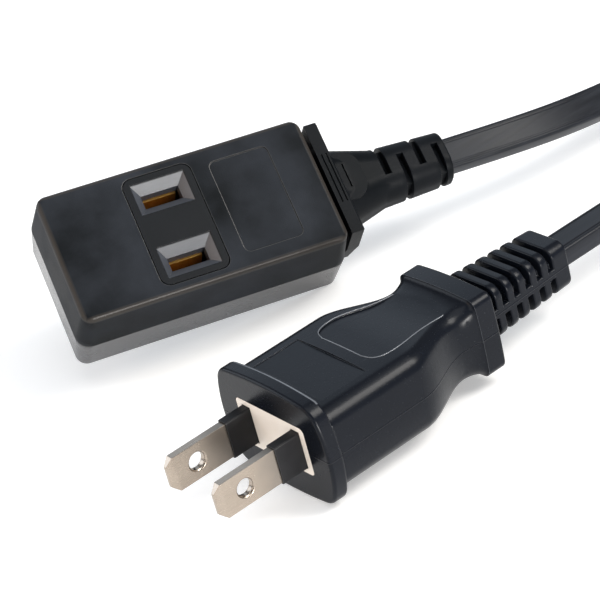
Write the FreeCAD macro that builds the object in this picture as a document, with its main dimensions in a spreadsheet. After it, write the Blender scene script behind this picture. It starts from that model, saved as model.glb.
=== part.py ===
"""Flat two-blade mains plug on a flat cord that ends in a one-way socket.

Millimetres. +X is across the blades, +Y runs from the blade tips to the cord and +Z is up.
The origin is the middle of the plug's footprint, on the surface that it lies on.
"""
import FreeCAD, Part
import Sketcher
import math
import os
import re

Vector = FreeCAD.Vector
Rotation = FreeCAD.Rotation

# Driving sizes, in millimetres and degrees.
SIZES = {
    # Blades and their insulating sleeves
    "blade_spacing": 12.7,
    "blade_width": 6.3,
    "blade_thickness": 1.5,
    "blade_length": 16.9,
    "blade_root": 3.4,
    "blade_hole": 3.0,
    "blade_hole_place": 11.4,
    "tip_corner": 1.3,
    "tip_bevel": 0.42,
    "tip_coin": 1.4,
    "hole_bevel": 0.25,
    "tail_width": 3.6,
    "tail_end": 12.5,
    "barrel_end": 17.5,
    "barrel_wall": 0.6,
    "barrel_lap": 0.8,
    "sleeve_length": 4.9,
    "sleeve_wall": 0.3,
    "sleeve_root": 2.6,
    "sleeve_corner": 0.35,
    "sleeve_gap": 0.03,
    # Front bridge that carries the blades
    "bridge_width": 17.5,
    "bridge_height": 9.0,
    "bridge_depth": 5.0,
    "bridge_corner": 0.9,
    # Clearance round pieces that are moulded in or pushed in
    "seat_gap": 0.05,
    # Front flange
    "flange_width": 28.0,
    "flange_height": 19.8,
    "flange_depth": 2.9,
    "flange_corner": 3.6,
    "flange_side_curve": 21.0,
    "flange_top_curve": 80.0,
    "flange_edge": 0.6,
    # Straight grip behind the flange
    "grip_width": 27.0,
    "grip_height": 15.2,
    "grip_corner": 3.5,
    "grip_side_curve": 24.0,
    "grip_top_curve": 160.0,
    "grip_end": 20.4,
    # Panels left bare for a label
    "label_start": 4.7,
    "label_length": 9.4,
    "label_width": 17.6,
    "label_depth": 0.4,
    # Thumb recess above and below
    "thumb_front": 16.3,
    "thumb_width": 16.2,
    "thumb_depth": 0.45,
    # Waist
    "waist_place": 32.8,
    "waist_width": 18.2,
    "waist_height": 13.1,
    "waist_corner": 2.8,
    "waist_side_curve": 16.0,
    "waist_top_curve": 120.0,
    # Rear block
    "block_front": 36.7,
    "block_rear": 40.5,
    "block_width": 19.2,
    "block_height": 15.4,
    "block_corner": 1.6,
    "block_curve": 90.0,
    "block_edge": 0.5,
    # Ribbed strain relief of the plug
    "relief_end": 61.0,
    "relief_width": 12.0,
    "relief_height": 10.0,
    "relief_corner": 2.4,
    "relief_end_width": 9.8,
    "relief_end_height": 8.8,
    "relief_end_corner": 2.0,
    "relief_edge": 0.5,
    "groove_first": 42.5,
    "groove_width": 1.15,
    "groove_pitch": 2.75,
    "groove_core_width": 8.0,
    "groove_core_height": 6.2,
    "groove_core_corner": 1.4,
    "groove_web": 1.7,
    # Flat cord and its two cores
    "cord_width": 6.2,
    "cord_thickness": 3.5,
    "cord_corner": 0.8,
    "core_diameter": 2.4,
    "core_spacing": 2.7,
    "conductor_diameter": 1.6,
    "strip_length": 1.2,
    "jacket_end": 41.5,
    "jacket_stub": 1.0,
    "core_slack": 0.35,
    "core_clear": 0.95,
    "cord_lead": 11.8,
    "cord_gap": 0.1,
    # Socket housing, in two shells
    "socket_length": 50.95,
    "socket_width": 26.5,
    "socket_height": 18.6,
    "socket_parting": 9.25,
    "hood_draft": 4.4,
    "tray_draft": 3.2,
    "socket_corner": 2.6,
    "socket_edge": 1.0,
    "socket_wall": 1.8,
    "socket_floor": 1.0,
    "draft_room": 0.4,
    "badge_start": 31.8,
    "badge_length": 11.1,
    "badge_width": 18.5,
    "badge_corner": 1.2,
    "badge_depth": 0.25,
    # Face insert with the two slots
    "insert_place": 22.25,
    "insert_length": 12.6,
    "insert_width": 21.2,
    "insert_corner": 1.8,
    "insert_lip": 1.3,
    "window_gap": 0.15,
    "mouth_length": 10.2,
    "mouth_width": 6.3,
    "mouth_depth": 1.8,
    "slot_length": 7.0,
    "slot_width": 2.6,
    "slot_floor": 3.6,
    "pocket_length": 9.4,
    "pocket_width": 5.4,
    # Brass contact clips
    "clip_length": 6.4,
    "clip_wall": 0.5,
    "clip_pinch": 1.3,
    "clip_mouth": 2.2,
    "clip_flare": 2.6,
    "clip_foot": 3.4,
    "clip_top_gap": 0.5,
    "clip_tail_gap": 0.3,
    "clip_tail_width": 2.4,
    "clip_barrel_start": 30.4,
    "clip_barrel_end": 34.4,
    # Gland with its strain relief
    "gland_gap": 0.35,
    "gland_depth": 2.5,
    "gland_width": 22.6,
    "gland_height": 14.8,
    "gland_base": 2.2,
    "gland_foot_width": 18.6,
    "gland_edge": 0.4,
    "gland_lift": 1.0,
    "grip_line_start": 0.7,
    "grip_line_pitch": 0.9,
    "grip_line_width": 0.3,
    "grip_line_length": 10.0,
    "grip_line_depth": 0.35,
    "boss_length": 7.0,
    "boss_width": 9.6,
    "boss_corner": 3.4,
    "boss_drop": 0.9,
    "boss_slot_place": 1.2,
    "boss_slot_length": 4.8,
    "tongue_length": 5.0,
    "tongue_width": 13.0,
    "tongue_height": 9.0,
    "tongue_lip": 1.5,
    "neck_length": 8.0,
    "neck_width": 15.0,
    "neck_height": 12.4,
    "neck_corner": 5.0,
    "sleeve_width_in": 10.8,
    "sleeve_height_in": 9.4,
    "sleeve_corner_in": 4.2,
    "sleeve_reach": 13.5,
    "sleeve_width_out": 9.6,
    "sleeve_height_out": 8.2,
    "sleeve_corner_out": 3.6,
    "notch_first": 0.5,
    "notch_width": 1.25,
    "notch_pitch": 3.45,
    "notch_edge": 1.6,
    "notch_floor": 0.8,
    # How the socket lies beside the plug
    "socket_place_x": -66.2,
    "socket_place_y": -20.9,
    "socket_turn": 73.6,
    "socket_tilt": 5.0,
    "socket_lean": 39.6,
    # Coil of the spare cord
    "coil_place_x": -17.0,
    "coil_place_y": 161.0,
    "coil_radius": 36.0,
    "coil_depth": 7.6,
    "coil_height": 12.8,
    "coil_corner": 1.6,
    "coil_lead": 27.0,
    "tie_width": 9.0,
    "tie_thickness": 0.8,
    "tie_gap": 0.4,
    "tie_angle": 70.0,
}

# Sizes that follow from the driving ones.
DERIVED = {
    "barrel_bore": "conductor_diameter + 4 * seat_gap",
    "barrel_outside": "barrel_bore + 2 * barrel_wall",
    "sleeve_thick": "blade_thickness + 2 * sleeve_wall",
    "sleeve_high": "blade_width + 2 * sleeve_wall",
    "plug_shift": "(blade_length - relief_end) / 2",
    "plug_rise": "flange_height / 2",
    "gland_axis": "socket_height / 2 + gland_lift",
    "gland_front": "socket_length + gland_gap",
    "gland_rear": "gland_front + gland_depth",
    "neck_end": "gland_rear + neck_length",
    "sleeve_end": "neck_end + sleeve_reach",
    "tongue_front": "gland_front - tongue_length",
    "gland_top": "gland_base + gland_height - gland_axis",
    "tray_inset": "socket_parting * tan(tray_draft)",
    "tray_corner": "socket_corner - tray_inset",
    "tray_straight_length": "socket_length / 2 - tray_inset - tray_corner",
    "tray_straight_width": "socket_width / 2 - tray_inset - tray_corner",
    "tilt_share": "sin(socket_tilt)",
    "lean_share": "sin(socket_lean) * cos(socket_tilt)",
    "level_share": "cos(socket_lean) * cos(socket_tilt)",
    "corner_drop": "(tray_corner - socket_edge) * sqrt(tilt_share ^ 2 + lean_share ^ 2)",
    "edge_drop": "socket_edge * (1 - level_share)",
    "straight_drop": "tray_straight_length * tilt_share + tray_straight_width * lean_share",
    "socket_reach": "straight_drop + corner_drop + edge_drop",
    "socket_rise": "socket_reach + socket_length / 2 * tilt_share + seat_gap",
}
KNOWN = set(SIZES) | set(DERIVED)

# The cord's way from its straight start at the plug to the coil, chosen by eye.
PLUG_ROUTE = [Vector(-0.8, 63.5, 9.2), Vector(1.5, 76.0, 6.2), Vector(6.8, 88.0, 3.2),
              Vector(13.0, 99.6, 2.0), Vector(17.6, 111.4, 1.9), Vector(20.0, 122.8, 1.9),
              Vector(20.0, 134.0, 1.9)]
# The cord's way from its straight start at the socket to the coil, chosen by eye.
SOCKET_ROUTE = [Vector(-33.0, 73.2, 10.8), Vector(-33.2, 86.0, 8.8), Vector(-35.0, 98.8, 6.6),
                Vector(-38.8, 111.2, 5.0), Vector(-43.0, 122.9, 4.7)]
# Share of the shorter run that an arc of the cord's path takes up at each end.
ARC_SHARE = 0.45
# Places along the grip's bend into the waist, and along the waist's flare into the rear block.
BEND_STEPS = (0.0, 0.25, 0.5, 0.75, 1.0)
FLARE_STEPS = (0.45, 0.75, 0.93, 1.0)
# Distance behind the thumb recess's front, share of its width and share of its depth.
THUMB_STEPS = ((0.0, 0.62, 0.9), (0.35, 0.77, 0.9), (1.0, 0.89, 0.9), (2.0, 0.96, 0.95), (3.7, 1.0, 1.0),
               (7.2, 0.95, 1.1), (10.7, 0.84, 1.1), (14.2, 0.78, 0.8), (18.2, 0.77, -0.1))
GROOVE_COUNT = 6
NOTCH_ROWS = 2
GRIP_LINES = 2
# Distance within which two planes count as one.
TOUCH = 0.01
SIDES = (("left", "-", -1), ("right", "", 1))


def new_document():
    """Document with one sheet that holds every size."""
    document = FreeCAD.newDocument("lead")
    table = document.addObject("Spreadsheet::Sheet", "dims")
    row = 1
    for name, number in SIZES.items():
        table.set("A%d" % row, name)
        table.set("B%d" % row, str(number))
        table.setAlias("B%d" % row, name)
        row += 1
    for name, formula in DERIVED.items():
        table.set("A%d" % row, name)
        table.set("B%d" % row, "=" + formula)
        table.setAlias("B%d" % row, name)
        row += 1
    document.recompute()
    return document, table


doc, dims = new_document()
sums = doc.addObject("Spreadsheet::Sheet", "sums")


def formula(text):
    """Expression in which every size's name points at its cell."""
    return re.sub(r"[a-z][a-z_]*", lambda word: "dims." + word[0] if word[0] in KNOWN else word[0], text)


def number(text):
    """Value of an expression in the sizes' names, worked out by the sheet."""
    sums.set("A1", "=" + formula(text))
    sums.recompute()
    value = sums.get("A1")
    return float(getattr(value, "Value", value))


def body(label):
    """Empty body that becomes one sub-part."""
    piece = doc.addObject("PartDesign::Body", label)
    piece.Label = label
    return piece


def origin_feature(piece, role):
    """One of a body's own origin planes or axes."""
    return next(feature for feature in piece.Origin.OriginFeatures if feature.Role == role)


def sketch(piece, name, role, away="0", right="0", up="0"):
    """Sketch on an origin plane, moved along the plane's normal and within the plane."""
    drawing = piece.newObject("Sketcher::SketchObject", name)
    drawing.AttachmentSupport = (origin_feature(piece, role), [""])
    drawing.MapMode = "FlatFace"
    for axis, text in (("x", right), ("y", up), ("z", away)):
        if text != "0":
            drawing.setExpression("AttachmentOffset.Base." + axis, formula(text))
    doc.recompute()
    return drawing


def across_plug(piece, name, place):
    """Sketch across the plug's axis, at a distance behind its front face."""
    return sketch(piece, name, "XZ_Plane", "-(%s)" % place)


def bind(drawing, rule, text):
    """Adds a dimension to a sketch and ties it to the sheet."""
    index = drawing.addConstraint(rule)
    drawing.setExpression("Constraints[%d]" % index, formula(text))


def pin(drawing, geometry, end, x, y):
    """Holds a point at two bound distances from the sketch's origin."""
    for kind, text, axis in (("DistanceX", x, -2), ("DistanceY", y, -1)):
        if text == "0":
            drawing.addConstraint(Sketcher.Constraint("PointOnObject", geometry, end, axis))
        else:
            bind(drawing, Sketcher.Constraint(kind, -1, 1, geometry, end, number(text)), text)


def polygon(drawing, points):
    """Closed outline of straight edges through points given by their sizes."""
    spots = [Vector(number(x), number(y), 0) for x, y in points]
    first = drawing.GeometryCount
    count = len(points)
    for index in range(count):
        drawing.addGeometry(Part.LineSegment(spots[index], spots[(index + 1) % count]))
    for index in range(count):
        after = first + (index + 1) % count
        drawing.addConstraint(Sketcher.Constraint("Coincident", first + index, 2, after, 1))
    for index, (x, y) in enumerate(points):
        pin(drawing, first + index, 1, x, y)


def rectangle(drawing, width, height):
    """Rectangle about the sketch's origin."""
    x = "(%s) / 2" % width
    y = "(%s) / 2" % height
    polygon(drawing, [("-" + x, "-" + y), (x, "-" + y), (x, y), ("-" + x, y)])


def circle(drawing, diameter, x="0", y="0"):
    """Circle about a point given by its sizes."""
    middle = Vector(number(x), number(y), 0)
    index = drawing.addGeometry(Part.Circle(middle, Vector(0, 0, 1), number(diameter) / 2))
    pin(drawing, index, 3, x, y)
    bind(drawing, Sketcher.Constraint("Diameter", index, number(diameter)), diameter)


def rounded_rectangle(drawing, width, height, corner):
    """Rectangle with round corners about the sketch's origin."""
    half_x = number(width) / 2
    half_y = number(height) / 2
    radius = number(corner)
    flat_x = half_x - radius
    flat_y = half_y - radius
    first = drawing.GeometryCount
    quarter = math.pi / 2
    sides = [(-flat_x, -half_y, flat_x, -half_y), (half_x, -flat_y, half_x, flat_y),
             (flat_x, half_y, -flat_x, half_y), (-half_x, flat_y, -half_x, -flat_y)]
    corners = [(flat_x, -flat_y, 3), (flat_x, flat_y, 0), (-flat_x, flat_y, 1), (-flat_x, -flat_y, 2)]
    for x, y, end_x, end_y in sides:
        drawing.addGeometry(Part.LineSegment(Vector(x, y, 0), Vector(end_x, end_y, 0)))
    for x, y, turn in corners:
        ring = Part.Circle(Vector(x, y, 0), Vector(0, 0, 1), radius)
        drawing.addGeometry(Part.ArcOfCircle(ring, turn * quarter, (turn + 1) * quarter))
    for index in range(4):
        arc = first + 4 + index
        drawing.addConstraint(Sketcher.Constraint("Tangent", first + index, 2, arc, 1))
        drawing.addConstraint(Sketcher.Constraint("Tangent", arc, 2, first + (index + 1) % 4, 1))
    for index in (0, 2):
        drawing.addConstraint(Sketcher.Constraint("Horizontal", first + index))
        drawing.addConstraint(Sketcher.Constraint("Vertical", first + index + 1))
    for index in (5, 6, 7):
        drawing.addConstraint(Sketcher.Constraint("Equal", first + 4, first + index))
    drawing.addConstraint(Sketcher.Constraint("Symmetric", first + 4, 3, first + 6, 3, -1, 1))
    bind(drawing, Sketcher.Constraint("Radius", first + 4, radius), corner)
    bind(drawing, Sketcher.Constraint("DistanceX", first + 3, 1, first + 1, 1, 2 * half_x), width)
    bind(drawing, Sketcher.Constraint("DistanceY", first, 1, first + 2, 1, 2 * half_y), height)


def swollen_rectangle(drawing, width, height, corner, side_curve, top_curve):
    """Rounded rectangle whose four sides are shallow arcs, about the sketch's origin."""
    half_x = number(width) / 2
    half_y = number(height) / 2
    radius = number(corner)
    curve_x = number(side_curve)
    curve_y = number(top_curve)
    side = Vector(half_x - curve_x, 0, 0)
    top = Vector(0, half_y - curve_y, 0)
    gap = (top - side).Length
    along = ((curve_x - radius) ** 2 - (curve_y - radius) ** 2 + gap ** 2) / (2 * gap)
    rise = math.sqrt((curve_x - radius) ** 2 - along ** 2)
    line = (top - side).normalize()
    middle = side + line * along + Vector(-line.y, line.x, 0) * rise
    if middle.y < 0:
        middle = side + line * along - Vector(-line.y, line.x, 0) * rise
    from_side = math.atan2(middle.y, middle.x - side.x)
    from_top = math.atan2(middle.y - top.y, middle.x)
    half_turn = math.pi
    first = drawing.GeometryCount
    arcs = [(side.x, 0, curve_x, -from_side, from_side),
            (middle.x, middle.y, radius, from_side, from_top),
            (0, top.y, curve_y, from_top, half_turn - from_top),
            (-middle.x, middle.y, radius, half_turn - from_top, half_turn - from_side),
            (-side.x, 0, curve_x, half_turn - from_side, half_turn + from_side),
            (-middle.x, -middle.y, radius, half_turn + from_side, half_turn + from_top),
            (0, -top.y, curve_y, half_turn + from_top, 2 * half_turn - from_top),
            (middle.x, -middle.y, radius, 2 * half_turn - from_top, 2 * half_turn - from_side)]
    for x, y, reach, start, end in arcs:
        ring = Part.Circle(Vector(x, y, 0), Vector(0, 0, 1), reach)
        drawing.addGeometry(Part.ArcOfCircle(ring, start, end))
    for index in range(8):
        after = first + (index + 1) % 8
        drawing.addConstraint(Sketcher.Constraint("Tangent", first + index, 2, after, 1))
    for index, sign in ((0, ""), (4, "-")):
        pin(drawing, first + index, 3, "%s((%s) / 2 - (%s))" % (sign, width, side_curve), "0")
        bind(drawing, Sketcher.Constraint("Radius", first + index, curve_x), side_curve)
    for index, sign in ((2, ""), (6, "-")):
        pin(drawing, first + index, 3, "0", "%s((%s) / 2 - (%s))" % (sign, height, top_curve))
        bind(drawing, Sketcher.Constraint("Radius", first + index, curve_y), top_curve)
    for index in (1, 3, 5, 7):
        bind(drawing, Sketcher.Constraint("Radius", first + index, radius), corner)


def pad(piece, drawing, name, length, reverse=False, midplane=False, taper="0"):
    """Pad of a sketch by a bound length."""
    feature = piece.newObject("PartDesign::Pad", name)
    feature.Profile = drawing
    feature.setExpression("Length", formula(length))
    feature.Reversed = reverse
    feature.Midplane = midplane
    if taper != "0":
        feature.setExpression("TaperAngle", formula(taper))
    doc.recompute()
    return feature


def loft(piece, name, drawings, kind="Additive"):
    """Loft through sketches."""
    feature = piece.newObject("PartDesign::%sLoft" % kind, name)
    feature.Profile = drawings[0]
    feature.Sections = drawings[1:]
    doc.recompute()
    return feature


def shrinks(piece, before, name):
    """Stops the build where a cut has missed the solid."""
    if not piece.Shape.Volume < before:
        raise ValueError("%s cuts nothing" % name)


def pocket(piece, drawing, name, length, reverse=False, midplane=False):
    """Pocket of a sketch by a bound length."""
    before = piece.Shape.Volume
    feature = piece.newObject("PartDesign::Pocket", name)
    feature.Profile = drawing
    feature.setExpression("Length", formula(length))
    feature.Reversed = reverse
    feature.Midplane = midplane
    doc.recompute()
    shrinks(piece, before, name)
    return feature


def repeat(piece, feature, name, role, length, count):
    """Row of copies of a feature along one of the body's axes."""
    row = piece.newObject("PartDesign::LinearPattern", name)
    row.Originals = [feature]
    row.Direction = (origin_feature(piece, role), [""])
    row.setExpression("Length", formula(length))
    row.Occurrences = count
    piece.Tip = row
    doc.recompute()
    return row


def box_feature(piece, kind, name, extent, corner):
    """Box with bound sides and a bound lowest corner, added to a body or cut from it."""
    before = piece.Shape.Volume
    feature = piece.newObject("PartDesign::%sBox" % kind, name)
    for side, text in zip(("Length", "Width", "Height"), extent):
        feature.setExpression(side, formula(text))
    for axis, text in zip("xyz", corner):
        feature.setExpression("Placement.Base." + axis, formula(text))
    doc.recompute()
    if kind == "Subtractive":
        shrinks(piece, before, name)


def cut_rod(piece, name, diameter, start, end):
    """Round cut along the line between two points."""
    before = piece.Shape.Volume
    feature = piece.newObject("PartDesign::SubtractiveCylinder", name)
    feature.setExpression("Radius", formula("(%s) / 2" % diameter))
    feature.Height = (end - start).Length
    feature.Placement = FreeCAD.Placement(start, Rotation(Vector(0, 0, 1), end - start))
    doc.recompute()
    shrinks(piece, before, name)


def rod(label, diameter, start, end):
    """Round rod between two points."""
    piece = doc.addObject("Part::Cylinder", label)
    piece.Label = label
    piece.setExpression("Radius", formula("(%s) / 2" % diameter))
    piece.Height = (end - start).Length
    piece.Placement = FreeCAD.Placement(start, Rotation(Vector(0, 0, 1), end - start))
    doc.recompute()
    return piece


def dress(piece, kind, name, amount, picks):
    """Fillet or chamfer on the edges of the body's last feature that a test picks."""
    base = piece.Tip
    edges = ["Edge%d" % (index + 1) for index, edge in enumerate(base.Shape.Edges) if picks(edge)]
    feature = piece.newObject("PartDesign::" + kind, name)
    feature.Base = (base, edges)
    feature.setExpression("Radius" if kind == "Fillet" else "Size", formula(amount))
    doc.recompute()


def level_with(axis, *places):
    """Test for an edge that lies wholly in one of the planes across an axis."""
    def test(edge):
        box = edge.BoundBox
        low, high = {"x": (box.XMin, box.XMax), "y": (box.YMin, box.YMax), "z": (box.ZMin, box.ZMax)}[axis]
        return any(abs(low - place) < TOUCH and abs(high - place) < TOUCH for place in places)
    return test


def mix(start, end, share):
    """Size part of the way between two sizes."""
    return "(%s) + ((%s) - (%s)) * %.5f" % (start, end, start, share)


def plug_point(x, y, z=0.0):
    """Point of the plug's own frame, about its front face, in the shared frame."""
    return Vector(x, y + number("plug_shift"), z + number("plug_rise"))


def seat_in_plug(piece, x="0"):
    """Puts a piece that is drawn about the plug's front face in the shared frame."""
    if x != "0":
        piece.setExpression("Placement.Base.x", formula(x))
    piece.setExpression("Placement.Base.y", formula("plug_shift"))
    piece.setExpression("Placement.Base.z", formula("plug_rise"))
    doc.recompute()


def socket_placement():
    """Where the socket lies: leaning on a lower corner, turned beside the plug."""
    lean = Rotation(Vector(1, 0, 0), number("socket_lean"))
    tilt = Rotation(Vector(0, 1, 0), number("socket_tilt"))
    turn = Rotation(Vector(0, 0, 1), number("socket_turn"))
    place = Vector(number("socket_place_x"), number("socket_place_y"), number("socket_rise"))
    return FreeCAD.Placement(place, turn.multiply(tilt).multiply(lean))


def socket_point(x, y, z):
    """Point of the socket's own frame in the shared frame."""
    return socket_placement().multVec(Vector(x, y, z))


def seat_in_socket(piece, x="0", y="0", z="0"):
    """Puts a piece that is drawn in the socket's own frame where the socket lies."""
    shift = FreeCAD.Placement(Vector(number(x), number(y), number(z)), Rotation())
    piece.Placement = socket_placement().multiply(shift)
    doc.recompute()


def feature_of(label, shape):
    """Sub-part whose shape is worked out from the sheet's sizes."""
    piece = doc.addObject("Part::Feature", label)
    piece.Label = label
    piece.Shape = shape
    return piece


def bend_share(part):
    """How far the grip has bent into the waist, part of the way between them."""
    return part * part * (3 - 2 * part)


def flare_share(part):
    """How far the waist has flared into the rear block, part of the way between them."""
    return 1 - math.sqrt(1 - part * part)


def plug_sections(piece):
    """Sketches from the grip through the waist to the rear block."""
    drawings = []
    grip = ("grip_width", "grip_height", "grip_corner", "grip_side_curve", "grip_top_curve")
    waist = ("waist_width", "waist_height", "waist_corner", "waist_side_curve", "waist_top_curve")
    block = ("block_width", "block_height", "block_corner", "block_curve", "block_curve")
    stations = []
    for part in BEND_STEPS:
        share = bend_share(part)
        sizes = [mix(a, b, share) for a, b in zip(grip, waist)]
        stations.append((mix("grip_end", "waist_place", part), sizes))
    for part in FLARE_STEPS:
        share = flare_share(part)
        sizes = [mix(a, b, share) for a, b in zip(waist, block)]
        stations.append((mix("waist_place", "block_front", part), sizes))
    for index, (place, sizes) in enumerate(stations):
        drawing = across_plug(piece, "section_%d" % index, place)
        swollen_rectangle(drawing, *sizes)
        drawings.append(drawing)
    return drawings


def plug_body():
    """Moulded plug: flange, grip, waist, rear block and ribbed strain relief in one piece."""
    piece = body("plug_body")
    drawing = across_plug(piece, "flange_outline", "0")
    swollen_rectangle(drawing, "flange_width", "flange_height", "flange_corner", "flange_side_curve",
                      "flange_top_curve")
    pad(piece, drawing, "flange", "flange_depth", reverse=True)
    dress(piece, "Fillet", "flange_round", "flange_edge", level_with("y", 0, number("flange_depth")))
    drawing = across_plug(piece, "grip_outline", "flange_depth")
    swollen_rectangle(drawing, "grip_width", "grip_height", "grip_corner", "grip_side_curve",
                      "grip_top_curve")
    pad(piece, drawing, "grip", "grip_end - flange_depth", reverse=True)
    loft(piece, "waist", plug_sections(piece))
    drawing = across_plug(piece, "block_outline", "block_front")
    swollen_rectangle(drawing, "block_width", "block_height", "block_corner", "block_curve", "block_curve")
    pad(piece, drawing, "block", "block_rear - block_front", reverse=True)
    dress(piece, "Fillet", "block_round", "block_edge", level_with("y", number("block_rear")))
    strain_relief(piece)
    plug_cavities(piece)
    for side, sign in (("upper", ""), ("lower", "-")):
        thumb_recess(piece, side, sign)
    box_feature(piece, "Subtractive", "label_panel", ("label_width", "label_length", "grip_height"),
                ("-label_width / 2", "label_start", "grip_height / 2 - label_depth"))
    seat_in_plug(piece)


def plug_half_height(place):
    """Half of the plug's height at a distance behind its front face."""
    bend = (place - number("grip_end")) / number("waist_place - grip_end")
    flare = (place - number("waist_place")) / number("block_front - waist_place")
    if flare > 0:
        return mix("waist_height / 2", "block_height / 2", flare_share(min(flare, 1)))
    return mix("grip_height / 2", "waist_height / 2", bend_share(max(bend, 0)))


def thumb_recess(piece, side, sign):
    """Shallow hollow for a fingertip that follows the grip into the waist."""
    drawings = []
    for distance, width, depth in THUMB_STEPS:
        place = "thumb_front + %s" % distance
        wide = "thumb_width / 2 * %s" % width
        floor = "%s(%s - thumb_depth * %s)" % (sign, plug_half_height(number(place)), depth)
        outside = sign + "grip_height"
        drawing = across_plug(piece, "thumb_%s_%d" % (side, len(drawings)), place)
        polygon(drawing, [("-" + wide, floor), (wide, floor), (wide, outside), ("-" + wide, outside)])
        drawings.append(drawing)
    loft(piece, "thumb_" + side, drawings, "Subtractive")


def strain_relief(piece):
    """Tapered tail of the plug with six grooves above and below a web on each side."""
    drawing = across_plug(piece, "relief_start", "block_rear")
    rounded_rectangle(drawing, "relief_width", "relief_height", "relief_corner")
    ending = across_plug(piece, "relief_finish", "relief_end")
    rounded_rectangle(ending, "relief_end_width", "relief_end_height", "relief_end_corner")
    loft(piece, "relief", [drawing, ending])
    dress(piece, "Fillet", "relief_round", "relief_edge", level_with("y", number("relief_end")))
    drawing = across_plug(piece, "groove_outline", "groove_first")
    wide = "groove_core_width / 2"
    high = "groove_core_height / 2"
    flat_wide = wide + " - groove_core_corner"
    flat_high = high + " - groove_core_corner"
    for sign in ("", "-"):
        points = [("-relief_width", "groove_web / 2"), ("-relief_width", "relief_height"),
                  ("relief_width", "relief_height"), ("relief_width", "groove_web / 2"),
                  (wide, "groove_web / 2"), (wide, flat_high), (flat_wide, high),
                  ("-(%s)" % flat_wide, high), ("-(%s)" % wide, flat_high),
                  ("-(%s)" % wide, "groove_web / 2")]
        polygon(drawing, [(x, "%s(%s)" % (sign, y)) for x, y in points])
    groove = pocket(piece, drawing, "groove", "groove_width")
    repeat(piece, groove, "grooves", "Y_Axis", "groove_pitch * %d" % (GROOVE_COUNT - 1), GROOVE_COUNT)


def plug_cavities(piece):
    """Room in the moulding for the bridge, the blade tails, the cores and the cord."""
    drawing = across_plug(piece, "bridge_seat_outline", "0")
    rounded_rectangle(drawing, "bridge_width + 2 * seat_gap", "bridge_height + 2 * seat_gap", "bridge_corner")
    pocket(piece, drawing, "bridge_seat", "bridge_depth + seat_gap")
    bore = "barrel_outside + 2 * seat_gap"
    for side, sign, way in SIDES:
        place = "%sblade_spacing / 2" % sign
        box_feature(piece, "Subtractive", "tail_room_" + side,
                    ("blade_thickness + 2 * seat_gap", "tail_end - bridge_depth + seat_gap",
                     "tail_width + 2 * seat_gap"),
                    (place + " - blade_thickness / 2 - seat_gap", "bridge_depth",
                     "-tail_width / 2 - seat_gap"))
        middle = way * number("blade_spacing / 2")
        start = Vector(middle, number("tail_end - barrel_lap - seat_gap"), 0)
        end = Vector(middle, number("barrel_end + strip_length + core_slack"), 0)
        cut_rod(piece, "barrel_room_" + side, bore, start, end)
        start, end = plug_core_line(way)
        spare = (end - start).normalize() * number("core_slack")
        cut_rod(piece, "core_room_" + side, "core_diameter + 2 * seat_gap", start - spare, end + spare)
    box_feature(piece, "Subtractive", "cord_room",
                ("cord_width + 2 * cord_gap", "relief_end - jacket_end + core_slack",
                 "cord_thickness + 2 * cord_gap"),
                ("-cord_width / 2 - cord_gap", "jacket_end - core_slack", "-cord_thickness / 2 - cord_gap"))


def plug_core_line(way):
    """Ends of one insulated core inside the plug, from its crimp to the jacket."""
    start = Vector(way * number("blade_spacing / 2"), number("barrel_end + strip_length + core_slack"), 0)
    end = Vector(way * number("core_spacing / 2"), number("jacket_end - core_slack"), 0)
    return start, end


def plug_bridge():
    """Pale plate in the front face that holds both blades."""
    piece = body("plug_bridge")
    drawing = across_plug(piece, "bridge_outline", "0")
    rounded_rectangle(drawing, "bridge_width", "bridge_height", "bridge_corner")
    pad(piece, drawing, "plate", "bridge_depth", reverse=True)
    steps = (("sleeve_hole", "sleeve_thick", "sleeve_high", "0", "sleeve_root"),
             ("blade_slot", "blade_thickness", "blade_width", "sleeve_root", "blade_root - sleeve_root"),
             ("tail_slot", "blade_thickness", "tail_width", "blade_root", "bridge_depth - blade_root"))
    for side, sign, way in SIDES:
        for name, thick, high, start, depth in steps:
            box_feature(piece, "Subtractive", "%s_%s" % (name, side),
                        (thick + " + 2 * seat_gap", depth + " + seat_gap", high + " + 2 * seat_gap"),
                        ("%sblade_spacing / 2 - %s / 2 - seat_gap" % (sign, thick), start,
                         "-%s / 2 - seat_gap" % high))
    seat_in_plug(piece)


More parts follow.
